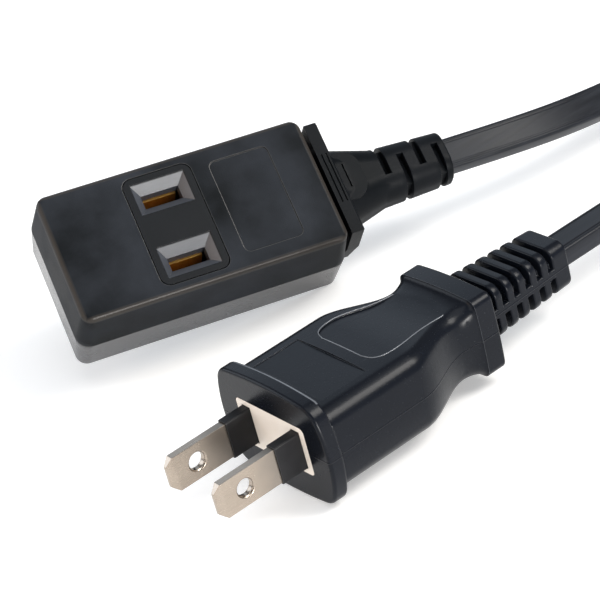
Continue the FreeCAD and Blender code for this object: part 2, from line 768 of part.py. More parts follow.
def blade(side, sign):
    """Flat blade with a hole, coined tip and a crimp barrel on its tail."""
    piece = body("blade_" + side)
    drawing = sketch(piece, "outline", "YZ_Plane")
    half = "blade_width / 2"
    tip = half + " - tip_corner"
    tail = "tail_width / 2"
    polygon(drawing, [("-blade_length", "-(%s)" % tip), ("tip_corner - blade_length", "-" + half),
                      ("blade_root", "-" + half), ("blade_root", "-" + tail), ("tail_end", "-" + tail),
                      ("tail_end", tail), ("blade_root", tail), ("blade_root", half),
                      ("tip_corner - blade_length", half), ("-blade_length", tip)])
    pad(piece, drawing, "strip", "blade_thickness", midplane=True)
    drawing = sketch(piece, "hole_outline", "YZ_Plane")
    circle(drawing, "blade_hole", "-blade_hole_place")
    pocket(piece, drawing, "hole", "blade_thickness * 2", midplane=True)
    drawing = sketch(piece, "coin_outline", "XY_Plane")
    face = "blade_thickness / 2"
    for way in ("", "-"):
        polygon(drawing, [("%s(%s - tip_bevel)" % (way, face), "-blade_length"),
                          (way + face, "-blade_length"), (way + face, "tip_coin - blade_length")])
    pocket(piece, drawing, "coined_tip", "blade_width * 2", midplane=True)
    radius = number("blade_hole / 2")
    dress(piece, "Chamfer", "hole_edge", "hole_bevel",
          lambda edge: hasattr(edge.Curve, "Radius") and abs(edge.Curve.Radius - radius) < TOUCH)
    drawing = across_plug(piece, "barrel_outline", "tail_end - barrel_lap")
    circle(drawing, "barrel_outside")
    pad(piece, drawing, "barrel", "barrel_end - tail_end + barrel_lap", reverse=True)
    drawing = across_plug(piece, "barrel_bore_outline", "tail_end")
    circle(drawing, "barrel_bore")
    pocket(piece, drawing, "barrel_hole", "barrel_end - tail_end")
    seat_in_plug(piece, "%sblade_spacing / 2" % sign)


def blade_sleeve(side, sign):
    """Insulating sleeve round the root of one blade."""
    piece = body("blade_sleeve_" + side)
    drawing = across_plug(piece, "outside", "-sleeve_length")
    rounded_rectangle(drawing, "sleeve_thick", "sleeve_high", "sleeve_corner")
    pad(piece, drawing, "sleeve", "sleeve_length + sleeve_root", reverse=True)
    drawing = across_plug(piece, "inside", "-sleeve_length")
    rectangle(drawing, "blade_thickness + 2 * sleeve_gap", "blade_width + 2 * sleeve_gap")
    pocket(piece, drawing, "blade_room", "sleeve_length + sleeve_root")
    seat_in_plug(piece, "%sblade_spacing / 2" % sign)


def plug_wiring(side, way):
    """Bare conductor in the blade's crimp and the insulated core behind it."""
    place = way * number("blade_spacing / 2")
    rod("plug_conductor_" + side, "conductor_diameter", plug_point(place, number("tail_end + seat_gap")),
        plug_point(place, number("barrel_end + strip_length")))
    start, end = plug_core_line(way)
    rod("plug_core_" + side, "core_diameter", plug_point(*start), plug_point(*end))


def socket_top_shell():
    """Upper shell with the window for the face insert."""
    piece = body("socket_top_shell")
    drawing = sketch(piece, "outline", "XY_Plane", "socket_parting", "socket_length / 2")
    rounded_rectangle(drawing, "socket_length", "socket_width", "socket_corner")
    pad(piece, drawing, "hood", "socket_height - socket_parting", taper="-hood_draft")
    dress(piece, "Fillet", "hood_round", "socket_edge", level_with("z", number("socket_height")))
    shell_room(piece, "socket_height - socket_parting - socket_wall", True)
    drawing = sketch(piece, "window_outline", "XY_Plane", "socket_height", "insert_place")
    rounded_rectangle(drawing, "insert_length + 2 * window_gap", "insert_width + 2 * window_gap",
                      "insert_corner")
    pocket(piece, drawing, "window", "socket_wall * 2")
    drawing = sketch(piece, "badge_outline", "XY_Plane", "socket_height", "badge_start + badge_length / 2")
    rounded_rectangle(drawing, "badge_length", "badge_width", "badge_corner")
    pocket(piece, drawing, "badge_panel", "badge_depth")
    box_feature(piece, "Subtractive", "gland_room",
                ("socket_wall * 3", "tongue_width + 2 * seat_gap",
                 "gland_axis + tongue_height / 2 + seat_gap - socket_parting"),
                ("socket_length - socket_wall * 2", "-tongue_width / 2 - seat_gap", "socket_parting"))
    seat_in_socket(piece)


def shell_room(piece, depth, up):
    """Hollow inside one shell, cut from the parting plane."""
    drawing = sketch(piece, "room_outline", "XY_Plane", "socket_parting", "socket_length / 2")
    rounded_rectangle(drawing, "socket_length - 2 * socket_wall - 2 * draft_room",
                      "socket_width - 2 * socket_wall - 2 * draft_room", "socket_corner - socket_wall")
    pocket(piece, drawing, "room", depth, reverse=up)


def socket_bottom_shell():
    """Lower shell, on whose floor the contact clips stand."""
    piece = body("socket_bottom_shell")
    drawing = sketch(piece, "outline", "XY_Plane", "socket_parting", "socket_length / 2")
    rounded_rectangle(drawing, "socket_length", "socket_width", "socket_corner")
    pad(piece, drawing, "tray", "socket_parting", reverse=True, taper="-tray_draft")
    dress(piece, "Fillet", "tray_round", "socket_edge", level_with("z", 0))
    shell_room(piece, "socket_parting - socket_floor", False)
    box_feature(piece, "Subtractive", "gland_room",
                ("socket_wall * 3", "tongue_width + 2 * seat_gap",
                 "socket_parting - gland_axis + tongue_height / 2 + seat_gap"),
                ("socket_length - socket_wall * 2", "-tongue_width / 2 - seat_gap",
                 "gland_axis - tongue_height / 2 - seat_gap"))
    seat_in_socket(piece)


def socket_insert():
    """Face insert with two funnel-mouthed slots and a pocket under each for its clip."""
    piece = body("socket_insert")
    bottom = "socket_floor + seat_gap"
    shoulder = "socket_height - socket_wall - seat_gap"
    drawing = sketch(piece, "block_outline", "XY_Plane", bottom, "insert_place")
    rounded_rectangle(drawing, "insert_length + 2 * insert_lip", "insert_width", "insert_corner")
    pad(piece, drawing, "block", "%s - (%s)" % (shoulder, bottom))
    drawing = sketch(piece, "face_outline", "XY_Plane", shoulder, "insert_place")
    rounded_rectangle(drawing, "insert_length", "insert_width", "insert_corner")
    pad(piece, drawing, "face", "socket_wall + seat_gap")
    for side, sign, way in SIDES:
        place = "%sblade_spacing / 2" % sign
        mouth = sketch(piece, "mouth_" + side, "XY_Plane", "socket_height", "insert_place", place)
        rectangle(mouth, "mouth_length", "mouth_width")
        level = "socket_height - mouth_depth"
        throat = sketch(piece, "throat_" + side, "XY_Plane", level, "insert_place", place)
        rectangle(throat, "slot_length", "slot_width")
        loft(piece, "funnel_" + side, [mouth, throat], "Subtractive")
        box_feature(piece, "Subtractive", "slot_" + side, ("slot_length", "slot_width", "slot_floor"),
                    ("insert_place - slot_length / 2", place + " - slot_width / 2",
                     "socket_height - slot_floor"))
        box_feature(piece, "Subtractive", "pocket_" + side,
                    ("pocket_length", "pocket_width", "socket_height - slot_floor - (%s)" % bottom),
                    ("insert_place - pocket_length / 2", place + " - pocket_width / 2", bottom))
        box_feature(piece, "Subtractive", "tail_way_" + side,
                    ("insert_length / 2 + insert_lip", "clip_tail_width + 2 * clip_tail_gap",
                     "clip_wall + clip_tail_gap"),
                    ("insert_place", place + " - clip_tail_width / 2 - clip_tail_gap", bottom))
    seat_in_socket(piece)


def socket_contact(side, sign):
    """Brass clip: a U of two leaves that pinch the blade, with a tail and a crimp barrel."""
    piece = body("socket_contact_" + side)
    foot = "socket_floor + seat_gap"
    top = "socket_height - slot_floor - clip_top_gap"
    pinch = top + " - clip_flare"
    outline = [("clip_foot / 2", foot), ("clip_pinch / 2 + clip_wall", pinch),
               ("clip_mouth / 2 + clip_wall", top), ("clip_mouth / 2", top), ("clip_pinch / 2", pinch),
               ("clip_foot / 2 - clip_wall", foot + " + clip_wall")]
    drawing = sketch(piece, "leaf_outline", "YZ_Plane", "insert_place - clip_length / 2")
    polygon(drawing, outline + [("-(%s)" % x, y) for x, y in reversed(outline)])
    pad(piece, drawing, "leaves", "clip_length")
    box_feature(piece, "Additive", "tail",
                ("clip_barrel_start + barrel_lap - insert_place", "clip_tail_width", "clip_wall"),
                ("insert_place", "-clip_tail_width / 2", foot))
    rise = foot + " + barrel_outside / 2"
    drawing = sketch(piece, "barrel_outline", "YZ_Plane", "clip_barrel_start", "0", rise)
    circle(drawing, "barrel_outside")
    circle(drawing, "barrel_bore")
    pad(piece, drawing, "barrel", "clip_barrel_end - clip_barrel_start")
    seat_in_socket(piece, "0", "%sblade_spacing / 2" % sign)


def socket_wiring(side, way):
    """Bare conductor in the clip's crimp and the insulated core that leads to the gland."""
    place = way * number("blade_spacing / 2")
    height = number("socket_floor + seat_gap + barrel_outside / 2")
    strip_start = number("clip_barrel_start + barrel_lap")
    strip_end = number("clip_barrel_end + strip_length")
    rod("socket_conductor_" + side, "conductor_diameter", socket_point(strip_start, place, height),
        socket_point(strip_end, place, height))
    start = socket_point(strip_end + number("core_clear"), place, height)
    end = socket_point(number("tongue_front - core_clear") - number("jacket_stub"),
                       way * number("core_spacing / 2 + seat_gap * 4"), number("gland_axis"))
    rod("socket_core_" + side, "core_diameter", start, end)


def socket_gland():
    """Gland: tongue in the housing, flange, neck and slotted sleeve round the cord."""
    piece = body("socket_gland")
    top = "gland_top"
    low = "gland_base - gland_axis"
    drawing = sketch(piece, "flange_outline", "YZ_Plane", "gland_front")
    polygon(drawing, [("-gland_width / 2", top), ("-gland_width / 2", "0"), ("-gland_foot_width / 2", low),
                      ("gland_foot_width / 2", low), ("gland_width / 2", "0"), ("gland_width / 2", top)])
    pad(piece, drawing, "flange", "gland_depth")
    dress(piece, "Fillet", "flange_round", "gland_edge", level_with("x", number("gland_rear")))
    drawing = sketch(piece, "tongue_outline", "YZ_Plane", "tongue_front")
    rectangle(drawing, "tongue_width", "tongue_height")
    pad(piece, drawing, "tongue", "tongue_length")
    inner_face = "socket_length - socket_wall - draft_room - seat_gap"
    box_feature(piece, "Additive", "inner_lip",
                (inner_face + " - tongue_front", "tongue_width + 2 * tongue_lip",
                 "tongue_height + 2 * tongue_lip"),
                ("tongue_front", "-tongue_width / 2 - tongue_lip", "-tongue_height / 2 - tongue_lip"))
    joint = ("neck_end", "sleeve_width_in", "sleeve_height_in", "sleeve_corner_in")
    tapers = (("neck", ("gland_rear", "neck_width", "neck_height", "neck_corner"), joint),
              ("sleeve", joint, ("sleeve_end", "sleeve_width_out", "sleeve_height_out", "sleeve_corner_out")))
    for name, *ends in tapers:
        drawings = []
        for place, width, height, corner in ends:
            drawing = sketch(piece, "%s_outline_%d" % (name, len(drawings)), "YZ_Plane", place)
            rounded_rectangle(drawing, width, height, corner)
            drawings.append(drawing)
        loft(piece, name, drawings)
    gland_boss(piece)
    dress(piece, "Fillet", "sleeve_round", "gland_edge", level_with("x", number("sleeve_end")))
    wide = "cord_width / 2 + notch_floor"
    high = "cord_thickness / 2 + notch_floor"
    for name, sign, shift in (("far", "", "0"), ("near", "-", "notch_pitch")):
        drawing = sketch(piece, "notch_%s_outline" % name, "YZ_Plane", "neck_end + notch_first + " + shift)
        points = [("-notch_edge", high), ("-notch_edge", "sleeve_width_in"),
                  ("sleeve_width_in", "sleeve_width_in"), ("sleeve_width_in", "-sleeve_width_in"),
                  ("-notch_edge", "-sleeve_width_in"), ("-notch_edge", "-(%s)" % high),
                  (wide, "-(%s)" % high), (wide, high)]
        polygon(drawing, [("%s(%s)" % (sign, x), y) for x, y in points])
        notch = pocket(piece, drawing, "notch_" + name, "notch_width", reverse=True)
        repeat(piece, notch, "notches_" + name, "X_Axis", "notch_pitch * 2", NOTCH_ROWS)
    box_feature(piece, "Subtractive", "cord_room",
                ("sleeve_end - tongue_front", "cord_width + 2 * cord_gap", "cord_thickness + 2 * cord_gap"),
                ("tongue_front", "-cord_width / 2 - cord_gap", "-cord_thickness / 2 - cord_gap"))
    seat_in_socket(piece, "0", "0", "gland_axis")


def gland_boss(piece):
    """Half-round boss with a slot on top of the neck, and two grip lines across the flange's top."""
    drawing = sketch(piece, "boss_outline", "XY_Plane", "0", "gland_front + seat_gap + boss_length / 2")
    rounded_rectangle(drawing, "boss_length", "boss_width", "boss_corner")
    pad(piece, drawing, "boss", "gland_top - boss_drop")
    box_feature(piece, "Subtractive", "boss_slot", ("grip_line_width", "boss_slot_length", "gland_height"),
                ("gland_rear + boss_slot_place", "-boss_slot_length / 2",
                 "gland_top - boss_drop - grip_line_depth"))
    for line in range(GRIP_LINES):
        box_feature(piece, "Subtractive", "grip_line_%d" % line,
                    ("grip_line_width", "grip_line_length", "gland_height"),
                    ("gland_front + grip_line_start + grip_line_pitch * %d" % line, "-grip_line_length / 2",
                     "gland_top - grip_line_depth"))


def cord_profile(place, along, wide):
    """Outline of the flat cord across a direction, with its width along another."""
    half_x = number("cord_width / 2")
    half_y = number("cord_thickness / 2")
    corner = number("cord_corner")
    bend = corner * math.sqrt(0.5)
    flat_x = half_x - corner
    flat_y = half_y - corner
    thick = wide.cross(along).normalize()

    def spot(x, y):
        return place + wide * x + thick * y

    edges = []
    for x, y in ((1, 1), (-1, 1), (-1, -1), (1, -1)):
        side_end = spot(x * half_x, y * flat_y)
        top_end = spot(x * flat_x, y * half_y)
        middle = spot(x * (flat_x + bend), y * (flat_y + bend))
        if x * y > 0:
            edges.append(Part.Arc(side_end, middle, top_end).toShape())
            edges.append(Part.LineSegment(top_end, spot(-x * flat_x, y * half_y)).toShape())
        else:
            edges.append(Part.Arc(top_end, middle, side_end).toShape())
            edges.append(Part.LineSegment(side_end, spot(x * half_x, -y * flat_y)).toShape())
    return Part.Wire(edges)


def cord_path(points, label):
    """Straight runs through the points, joined by tangent arcs as large as the runs allow."""
    edges = []
    radii = []
    start = points[0]
    for before, corner, after in zip(points, points[1:], points[2:]):
        back = before - corner
        onward = after - corner
        half_turn = (math.pi - back.getAngle(onward)) / 2
        reach = ARC_SHARE * min(back.Length, onward.Length)
        radius = reach / math.tan(half_turn)
        back.normalize()
        onward.normalize()
        inward = (back + onward).normalize()
        middle = corner + inward * (radius / math.cos(half_turn) - radius)
        edges.append(Part.LineSegment(start, corner + back * reach).toShape())
        edges.append(Part.Arc(corner + back * reach, middle, corner + onward * reach).toShape())
        start = corner + onward * reach
        radii.append(radius)
    edges.append(Part.LineSegment(start, points[-1]).toShape())
    print("%s radii: %s" % (label, ", ".join("%.1f" % radius for radius in radii)))
    return Part.Wire(edges)


def cord_run(label, points, wide, inside):
    """Flat cord along a route, with its straight end in the strain relief, and the face at its far end."""
    path = cord_path(points, label)
    along = (points[1] - points[0]).normalize()
    profile = cord_profile(points[0], along, wide)
    sweep = Part.BRepOffsetAPI.MakePipeShell(path)
    sweep.setBiNormalMode(Vector(0, 0, 1))
    sweep.add(profile)
    sweep.build()
    sweep.makeSolid()
    tube = sweep.shape()
    expected = Part.Face(profile).Area * path.Length
    measured = (label, path.Length, tube.Volume, expected)
    print("%s length %.1f, volume %.1f, section times length %.1f" % measured)
    far_face = min(tube.Faces, key=lambda face: (face.CenterOfMass - points[-1]).Length)
    feature_of(label, tube.fuse(Part.Face(profile).extrude(along * -inside)).removeSplitter())
    return far_face, (points[-1] - points[-2]).normalize()


def cord():
    """Both free stretches of the cord, the coil between them and its tie."""
    start = plug_point(0, number("relief_end"))
    straight = plug_point(0, number("relief_end + cord_lead"))
    plug_end = cord_run("cord_plug_run", [start, straight] + PLUG_ROUTE, Vector(1, 0, 0),
                        number("relief_end - jacket_end"))
    axis = number("gland_axis")
    start = socket_point(number("sleeve_end"), 0, axis)
    straight = socket_point(number("sleeve_end + cord_lead"), 0, axis)
    wide = socket_placement().Rotation.multVec(Vector(0, 1, 0))
    socket_end = cord_run("cord_socket_run", [start, straight] + SOCKET_ROUTE, wide,
                          number("sleeve_end - tongue_front + jacket_stub"))
    coil([plug_end, socket_end])


def coil(ends):
    """Closed ring of the coiled cord with a straight lead to each free stretch, and the tie round it."""
    depth = number("coil_depth")
    height = number("coil_height")
    radius = number("coil_radius")
    wrap = number("tie_thickness + tie_gap")
    corner = number("coil_corner")
    ring = Part.makeCylinder(radius + depth / 2, height).cut(Part.makeCylinder(radius - depth / 2, height))
    rims = [edge for edge in ring.Edges if level_with("z", 0, height)(edge)]
    ring = ring.makeFillet(corner, rims)
    middle = Vector(number("coil_place_x"), number("coil_place_y"), 0)
    ring.translate(middle + Vector(0, 0, wrap))
    for face, along in ends:
        ring = ring.fuse(face.extrude(along * number("coil_lead")))
    feature_of("cord_coil", ring.removeSplitter())
    feature_of("cord_tie", tie(depth, height, wrap, corner, middle))


def tie(depth, height, wrap, corner, middle):
    """Flat band round the coil's turns."""
    width = number("tie_width")
    gap = number("tie_gap")
    radius = number("coil_radius")

    def slab(spare, rounding):
        block = Part.makeBox(depth + 2 * spare, width, height + 2 * spare,
                             Vector(radius - depth / 2 - spare, -width / 2, wrap - spare))
        runs = [edge for edge in block.Edges if abs(edge.BoundBox.YLength - width) < TOUCH]
        return block.makeFillet(rounding, runs)

    band = slab(wrap, corner + wrap).cut(slab(gap, corner + gap))
    band.rotate(Vector(0, 0, 0), Vector(0, 0, 1), number("tie_angle"))
    band.translate(middle)
    return band


def write_parts():
    """Checks every object of the document and writes one file for each sub-part."""
    for item in doc.Objects:
        if "Invalid" in item.State or "Error" in item.State:
            raise ValueError("%s has failed: %s" % (item.Label, item.State))
    labels = [item for item in doc.Objects
              if item.TypeId in ("PartDesign::Body", "Part::Cylinder", "Part::Feature")]
    for piece in labels:
        if piece.Shape.isNull() or not piece.Shape.isValid() or len(piece.Shape.Solids) != 1:
            raise ValueError("%s is not one valid solid" % piece.Label)
    os.makedirs("parts", exist_ok=True)
    for piece in labels:
        piece.Shape.exportStep("parts/%s.step" % piece.Label)
        print("%s volume %.1f" % (piece.Label, piece.Shape.Volume))


plug_body()
plug_bridge()
socket_top_shell()
socket_bottom_shell()
socket_insert()
socket_gland()
for side, sign, way in SIDES:
    blade(side, sign)
    blade_sleeve(side, sign)
    plug_wiring(side, way)
    socket_contact(side, sign)
    socket_wiring(side, way)
cord()
doc.recompute()
write_parts()
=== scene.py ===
"""Looks of a flat two-blade plug on a flat cord that ends in a one-way socket."""
import math

import bmesh
import bpy
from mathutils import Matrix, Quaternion, Vector


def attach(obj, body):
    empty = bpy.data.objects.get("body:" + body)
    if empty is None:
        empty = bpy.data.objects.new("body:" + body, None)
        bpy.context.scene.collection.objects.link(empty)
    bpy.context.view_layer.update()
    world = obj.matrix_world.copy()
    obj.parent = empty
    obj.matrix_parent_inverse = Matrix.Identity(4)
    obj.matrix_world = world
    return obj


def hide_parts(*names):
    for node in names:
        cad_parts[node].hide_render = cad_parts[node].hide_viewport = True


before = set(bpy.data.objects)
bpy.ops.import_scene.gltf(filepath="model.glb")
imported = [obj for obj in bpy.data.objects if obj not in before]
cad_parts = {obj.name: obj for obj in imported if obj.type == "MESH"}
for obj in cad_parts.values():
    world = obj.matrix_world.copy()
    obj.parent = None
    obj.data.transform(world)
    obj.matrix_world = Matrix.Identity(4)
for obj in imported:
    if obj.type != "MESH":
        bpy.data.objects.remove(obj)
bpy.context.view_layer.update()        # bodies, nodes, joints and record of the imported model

MM = 0.001
PER_MM = 1 / MM
HALF_TURN = 180
FULL_TURN = 360
BODY = "root"

# Camera of the photograph
EYE = Vector((0.27872, -0.18018, 0.21505))
AIM = Vector((-0.0143, -0.0022, 0.0197))
ROLL = math.radians(-15.27)
LENS = 144.6
SENSOR = 36.0
NEAREST = 0.01

# Floor, air and lamps, each with its place, its size, its power and its colour
FLOOR_SIZE = 8
AIR_COLOUR = (0.95, 0.97, 1.0, 1)
AIR_STRENGTH = 0.25
LAMP_AIM = Vector((-0.02, 0.02, 0))
LAMPS = {
    "over_lamp": ((0.15, 0.1, 0.9), (0.8, 0.8), 3, (0.95, 0.98, 1.0)),
    "side_lamp": ((0.8, -0.05, 0.07), (0.3, 0.1), 6, (1.0, 0.98, 0.95)),
    "band_lamp": ((0.47, 0.45, 0.7), (0.4, 0.4), 7, (1.0, 0.97, 0.92)),
    "front_lamp": ((0.15, -0.8, 0.35), (0.9, 0.5), 2, (1.0, 0.98, 0.95)),
    "sky_lamp": ((-0.74, 0.45, 0.5), (0.6, 0.6), 1, (0.72, 0.85, 1.0)),
    "cool_lamp": ((-0.68, -0.44, 0.4), (0.55, 0.55), 2.6, (0.84, 0.91, 1.0)),
    "warm_lamp": ((-0.3, -0.8, 0.5), (0.35, 0.35), 0.75, (1.0, 0.66, 0.4)),
}

# Plug: the end of its blades
BLADE_TIPS = Vector((0, -0.03895, 0))

# Section of the flat cord, with a fine groove near each edge of its flat sides
CORD_WIDTH = 6.2 * MM
CORD_THICKNESS = 3.5 * MM
CORD_CORNER = 0.6 * MM
CORNER_STEPS = 4
GROOVE_PLACE = 2.15 * MM
GROOVE_DEPTH = 0.2 * MM
GROOVE_STEPS = (0.32 * MM, 0.2 * MM, 0, -0.2 * MM, -0.32 * MM)

# Line of the cord: the route's points in metres, and how far it goes on inside the plug and the gland
PLUG_EXIT = Vector((0, 0.03895, 0.0099))
PLUG_ROUTE = [Vector((0, 0.05075, 0.0099)), Vector((-0.0008, 0.0635, 0.0092)), Vector((0.0015, 0.076, 0.0062)),
              Vector((0.0068, 0.088, 0.0032)), Vector((0.013, 0.0996, 0.0021)), Vector((0.0176, 0.1114, 0.0023)),
              Vector((0.02, 0.1228, 0.0031)), Vector((0.02, 0.134, 0.0038))]
SOCKET_ROUTE = [Vector((-0.033, 0.0732, 0.0108)), Vector((-0.0332, 0.086, 0.0088)),
                Vector((-0.035, 0.0988, 0.0066)), Vector((-0.0388, 0.1112, 0.005)),
                Vector((-0.043, 0.1229, 0.0047))]
INSIDE = 12 * MM
ON_EDGE = math.radians(-90)
PLUG_TWIST = (0.25, 0.6)     # shares of the turn on edge at the plug route's last two points
CORD_FINENESS = 8

# Coil of the spare cord, which stands on edge in two layers of two turns
COIL_MIDDLE = Vector((-0.017, 0.161, 0))
COIL_RADII = (37.6 * MM, 33.9 * MM)
COIL_LAYERS = (4.4 * MM, 10.8 * MM)
COIL_STEPS = 18
COIL_ANGLE = 1280
COIL_SHIFT = 60
COIL_SINK = 1.1 * MM
TIE_ANGLE = 70
TIE_REACH = 75

# Socket: where it lies, how it is turned, and the pieces that are on the cord there
SOCKET_PLACE = Vector((-0.0662, -0.0209, 0.01195))
SOCKET_TURN = math.radians(73.6)
SOCKET_TILT = math.radians(5)
SOCKET_LEAN = math.radians(39.6)
SOCKET_AXIS_HEIGHT = 10.3 * MM
SLEEVE_END = 75.3 * MM
CORD_LEAD = 11.8 * MM
INSERT_FACE = Vector((-0.04822, -0.00179, 0.02429))
INSERT_WAY = Vector((0.6304, -0.1157, 0.7676))
SOCKET_ALONG = Vector((0.2814, 0.9556, -0.0872))
SOCKET_ACROSS = Vector((-0.7234, 0.271, 0.635))
HOOD_LENGTH = 50.95 * MM
HOOD_FLAT_LENGTH = 47.6 * MM
HOOD_FLAT_WIDTH = 23.1 * MM
HOOD_ROUNDING = 17.5 * MM

# Skins of the CAD nodes: what counts as one point, as flat, as a sharp edge and as a smooth face
ONE_POINT = 0.002 * MM
NO_SIZE = 0.001 * MM
FLAT = math.radians(0.3)
SHARP = math.radians(60)
EASED_ABOVE = math.radians(40)
SMOOTH_BELOW = math.radians(32)
RIM_SLOT = 1
POLISH_AND_HIGHLIGHT_SLOT = 2

# Boxes in millimetres round edges and faces with a form or finish of their own, and the sizes of those forms; the
# flange rims take a pale finish that paints a highlight line
FLANGE_HIGHLIGHT_RIMS = (((-12, -19.72, 18.8), (12, -19.1, 20)), ((-12, -19.72, -0.1), (12, -19.1, 1)))
THUMB_RECESSES = {"above": ((-8.6, -5.9, 15), (8.6, 14, 20)), "below": ((-8.6, -5.9, 0), (8.6, 14, 5))}
BEAD_RADIUS = 0.11
RELIEF_RIBS = ((-8, 20.2, 1), (8, 39.5, 19))
RELIEF_ROUNDING = 0.4
SLEEVE_RIBS = ((-60, 36, 0), (-25, 53, 30))
SLEEVE_ROUNDING = 0.18


class Wire:
    """Output of a shader node. Arithmetic on it adds Math nodes."""

    def __init__(self, finish, socket):
        self.finish = finish
        self.socket = socket

    def math(self, operation, first, second=0.0):
        return self.finish.node("ShaderNodeMath", {"operation": operation}, {0: first, 1: second})

    def __add__(self, other):
        return self.math("ADD", self, other)

    def __sub__(self, other):
        return self.math("SUBTRACT", self, other)

    def __rsub__(self, other):
        return self.math("SUBTRACT", other, self)

    def __mul__(self, other):
        return self.math("MULTIPLY", self, other)

    def __abs__(self):
        return self.math("ABSOLUTE", self)

    def or_more(self, other):
        """The larger of two values."""
        return self.math("MAXIMUM", self, other)

    __radd__ = __add__
    __rmul__ = __mul__


class Finish:
    """Material whose nodes are built up by expressions."""

    def __init__(self, name):
        self.material = bpy.data.materials.new(name)
        self.material.use_nodes = True
        self.tree = self.material.node_tree
        self.tree.nodes.clear()
        self.surface = self.tree.nodes.new("ShaderNodeBsdfPrincipled")
        output = self.tree.nodes.new("ShaderNodeOutputMaterial")
        self.tree.links.new(self.surface.outputs["BSDF"], output.inputs["Surface"])

    def feed(self, target, value):
        if isinstance(value, Wire):
            self.tree.links.new(value.socket, target)
        else:
            target.default_value = value

    def node(self, kind, settings=None, inputs=None, output=0):
        made = self.tree.nodes.new(kind)
        for name, value in (settings or {}).items():
            if name == "stops":
                self.set_stops(made.color_ramp, value)
            else:
                setattr(made, name, value)
        for name, value in (inputs or {}).items():
            self.feed(made.inputs[name], value)
        return Wire(self, made.outputs[output])

    def set_stops(self, ramp, stops):
        while len(ramp.elements) < len(stops):
            ramp.elements.new(1.0)
        for element, (place, level) in zip(ramp.elements, stops):
            element.position = place
            element.color = (level, level, level, 1)

    def place(self):
        return self.node("ShaderNodeTexCoord", output="Object")

    def height_over(self, spot, way):
        """Distance in metres along a direction from a point."""
        offset = self.node("ShaderNodeVectorMath", {"operation": "SUBTRACT"}, {0: self.place(), 1: spot})
        return self.node("ShaderNodeVectorMath", {"operation": "DOT_PRODUCT"}, {0: offset, 1: way}, "Value")

    def stretched(self, factors):
        return self.node("ShaderNodeMapping", {"vector_type": "TEXTURE"}, {"Vector": self.place(), "Scale": factors})

    def noise(self, grain, detail=2.0, vector=None):
        """Noise with features of a size given in millimetres."""
        return self.node("ShaderNodeTexNoise", None,
                         {"Vector": vector or self.place(), "Scale": 1 / (grain * MM), "Detail": detail})

    def ramp(self, value, *stops):
        return self.node("ShaderNodeValToRGB", {"stops": stops}, {"Fac": value})

    def blend(self, share, first, second):
        return self.node("ShaderNodeMix", {"data_type": "RGBA"}, {0: share, 6: first, 7: second}, 2)

    def bump(self, height, depth, under=None):
        """Normal raised by a height, as deep as a size given in millimetres."""
        inputs = {"Height": height, "Distance": depth * MM}
        if under:
            inputs["Normal"] = under
        return self.node("ShaderNodeBump", None, inputs)

    def paint(self, **sockets):
        for name, value in sockets.items():
            self.feed(self.surface.inputs[name.replace("_", " ")], value)
        return self.material


def plug_vinyl():
    """Black vinyl with a blue cast, smooth from the mould, with faint flow marks, dust and a seam at mid-height."""
    finish = Finish("plug_vinyl")
    flow = finish.noise(9, 3, finish.stretched((1, 3, 1)))
    peel = finish.noise(0.9, 2)
    dust = finish.ramp(finish.noise(0.35, 1), (0.7, 0), (0.78, 1))
    seam = finish.ramp(abs(finish.height_over(PLUG_EXIT, (0, 0, 1))) * PER_MM, (0.04, 1), (0.14, 0))
    tone = finish.blend(flow, (0.003, 0.004, 0.0065, 1), (0.0055, 0.007, 0.011, 1))
    return finish.paint(Base_Color=finish.blend(dust * 0.12, tone, (0.08, 0.09, 0.1, 1)),
                        Specular_IOR_Level=0.14, Roughness=0.22 + flow * 0.1 + dust * 0.1,
                        Normal=finish.bump(seam, 0.05, finish.bump(peel, 0.012)))


def edge_wear_and_highlight(name, tone, gloss, shine):
    """Edges that handling has polished, with small nicks. A tone paler than the body's paints a highlight along the
    edge.
    """
    finish = Finish(name)
    nick = finish.noise(0.6, 3)
    pale = tuple(level * 1.7 for level in tone[:3]) + (1,)
    return finish.paint(Base_Color=finish.blend(nick, tone, pale), Specular_IOR_Level=shine,
                        Roughness=gloss + nick * 0.12, Normal=finish.bump(nick, 0.02))


def bridge_resin():
    """Cream resin with a dull moulded skin."""
    finish = Finish("bridge_resin")
    cloud = finish.noise(3, 3)
    speck = finish.noise(0.25, 2)
    tone = finish.blend(cloud, (0.88, 0.78, 0.68, 1), (0.94, 0.85, 0.76, 1))
    return finish.paint(Base_Color=tone, Roughness=0.45 + cloud * 0.15, Normal=finish.bump(speck, 0.008))


def nickel_plate():
    """Warm nickel plating over rolled strip, with fine lines along the blade and a rougher root, darkened towards the
    sleeve as a painted reflection of the sleeve.
    """
    finish = Finish("nickel_plate")
    lines = finish.noise(0.35, 3, finish.stretched((1, 40, 1)))
    cloud = finish.noise(2.5, 3)
    behind_tip = finish.height_over(BLADE_TIPS, (0, 1, 0)) * PER_MM
    # The darkening towards the sleeve is a painted reflection of the sleeve; the added roughness is the root's own
    # finish
    root = finish.ramp(behind_tip * 0.05 + cloud * 0.25, (0.45, 0), (0.68, 1))
    tone = finish.blend(cloud, (0.33, 0.28, 0.235, 1), (0.42, 0.36, 0.3, 1))
    return finish.paint(Base_Color=finish.blend(root * 0.55, tone, (0.16, 0.15, 0.14, 1)), Metallic=1.0,
                        Roughness=0.18 + lines * 0.12 + cloud * 0.06 + root * 0.1, Normal=finish.bump(lines, 0.004))


def sleeve_resin():
    """Dull charcoal resin of the blade sleeves."""
    finish = Finish("sleeve_resin")
    cloud = finish.noise(1.6, 3)
    speck = finish.noise(0.18, 2)
    tone = finish.blend(cloud, (0.007, 0.007, 0.008, 1), (0.015, 0.015, 0.017, 1))
    return finish.paint(Base_Color=tone, Specular_IOR_Level=0.2, Roughness=0.36 + cloud * 0.18,
                        Normal=finish.bump(speck, 0.012))


